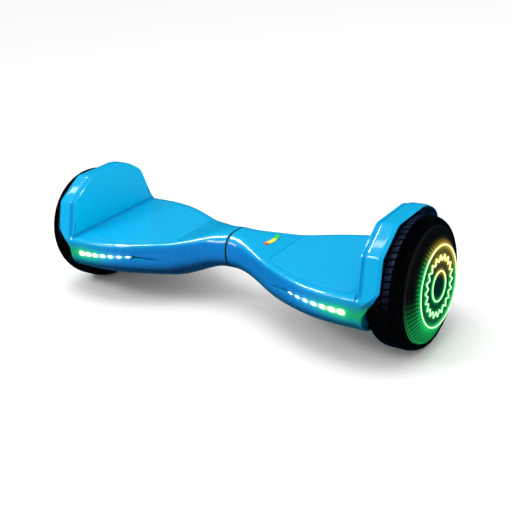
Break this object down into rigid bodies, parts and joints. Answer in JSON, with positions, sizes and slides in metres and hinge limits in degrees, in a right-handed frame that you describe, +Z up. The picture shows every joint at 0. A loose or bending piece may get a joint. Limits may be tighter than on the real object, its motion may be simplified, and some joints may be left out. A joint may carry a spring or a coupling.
{
  "type": "self balancing hoverboard",
  "caption": "Two-wheeled self-balancing board with a waisted body, fenders over hub-motor wheels, foot pads, front light bars and lit wheel discs; the halves tilt on a middle pivot.",
  "frame": {"origin": "on the floor under the middle of the board, below the axle line", "axes": "+X along the axle to the right wheel, -Y to the front with the light bars, +Z up"},
  "size_m": [0.6024, 0.1914, 0.1716],
  "materials": {
    "shell_blue": "high-gloss injection-moulded ABS, cyan blue",
    "cover_black": "fine-textured black moulded plastic",
    "trim_black": "black moulded plastic with radial ribs",
    "seal_rubber": "soft black rubber",
    "tyre_black": "black solid rubber tyre with block tread",
    "light_lens": "diffusing lens over white and green lamps",
    "light_green": "light guide glowing green to yellow",
    "smoked_disc": "dark green smoked lens",
    "gauge_colours": "green, yellow and red light segments under a clear lens",
    "cast_alloy": "die-cast aluminium",
    "steel": "turned steel",
    "dark_steel": "black-oxide steel",
    "bronze": "sintered bronze",
    "copper": "enamelled copper wire",
    "magnet_nickel": "nickel-plated magnet",
    "board_green": "circuit board with solder mask",
    "battery_wrap": "blue shrink wrap over cells",
    "wire_orange": "insulated wire bundle",
    "control_white": "gloss white moulded button"
  },
  "bodies": {
    "left_half": {"left_top_shell": "shell_blue", "left_fender": "shell_blue", "left_bottom_cover": "cover_black", "left_bar_lens": "light_lens", "left_bar_board": "board_green", "seam_ring": "seal_rubber", "left_frame": "cast_alloy", "pivot_shaft": "steel", "pivot_circlips": "dark_steel", "left_axle_clamp": "cast_alloy", "left_half_screws": "dark_steel", "left_balance_board": "board_green", "battery_pack": "battery_wrap", "wiring_harness": "wire_orange", "button_housing": "steel", "left_axle": "steel", "left_stator_core": "dark_steel", "left_windings": "copper"},
    "right_half": {"right_top_shell": "shell_blue", "right_fender": "shell_blue", "right_bottom_cover": "cover_black", "right_bar_lens": "light_lens", "right_bar_board": "board_green", "gauge_window": "gauge_colours", "right_frame": "cast_alloy", "pivot_bushes": "bronze", "right_axle_clamp": "cast_alloy", "right_half_screws": "dark_steel", "right_balance_board": "board_green", "main_board": "board_green", "heat_sink": "cast_alloy", "right_motor_cable": "wire_orange", "charge_socket": "cover_black", "right_axle": "steel", "right_stator_core": "dark_steel", "right_windings": "copper"},
    "left_wheel": {"left_rim": "dark_steel", "left_magnets": "magnet_nickel", "left_motor_cover": "cast_alloy", "left_motor_bolts": "dark_steel", "left_bearings": "steel", "left_tyre": "tyre_black", "left_wheel_cover": "trim_black", "left_hub_lights": "board_green", "left_light_disc": "smoked_disc", "left_light_guides": "light_green"},
    "right_wheel": {"right_rim": "dark_steel", "right_magnets": "magnet_nickel", "right_motor_cover": "cast_alloy", "right_motor_bolts": "dark_steel", "right_bearings": "steel", "right_tyre": "tyre_black", "right_wheel_cover": "trim_black", "right_hub_lights": "board_green", "right_light_disc": "smoked_disc", "right_light_guides": "light_green"},
    "left_pad": {"left_foot_pad": "shell_blue"},
    "right_pad": {"right_foot_pad": "shell_blue"},
    "power_button": {"power_button": "control_white"},
    "charge_cap": {"charge_cap": "seal_rubber"}
  },
  "joints": [
    {"name": "centre_pivot", "type": "hinge", "parent": "left_half", "child": "right_half", "pos_m": [0, 0, 0.084], "axis": [1, 0, 0], "range_deg": [-10, 10], "stiffness_Nm_per_rad": 3},
    {"name": "left_wheel_spin", "type": "hinge", "parent": "left_half", "child": "left_wheel", "pos_m": [-0.266, 0, 0.084], "axis": [1, 0, 0], "continuous": true},
    {"name": "right_wheel_spin", "type": "hinge", "parent": "right_half", "child": "right_wheel", "pos_m": [0.266, 0, 0.084], "axis": [1, 0, 0], "continuous": true},
    {"name": "left_pad_press", "type": "slide", "parent": "left_half", "child": "left_pad", "axis": [0, 0, 1], "range_m": [-0.0008, 0], "stiffness_N_per_m": 12000},
    {"name": "right_pad_press", "type": "slide", "parent": "right_half", "child": "right_pad", "axis": [0, 0, 1], "range_m": [-0.0008, 0], "stiffness_N_per_m": 12000},
    {"name": "power_button_press", "type": "slide", "parent": "left_half", "child": "power_button", "axis": [0, -1, 0], "range_m": [0, 0.0012], "stiffness_N_per_m": 600},
    {"name": "charge_cap_hinge", "type": "hinge", "parent": "right_half", "child": "charge_cap", "pos_m": [0.196, 0.09516, 0.091], "axis": [1, 0, 0], "range_deg": [0, 120]}
  ]
}
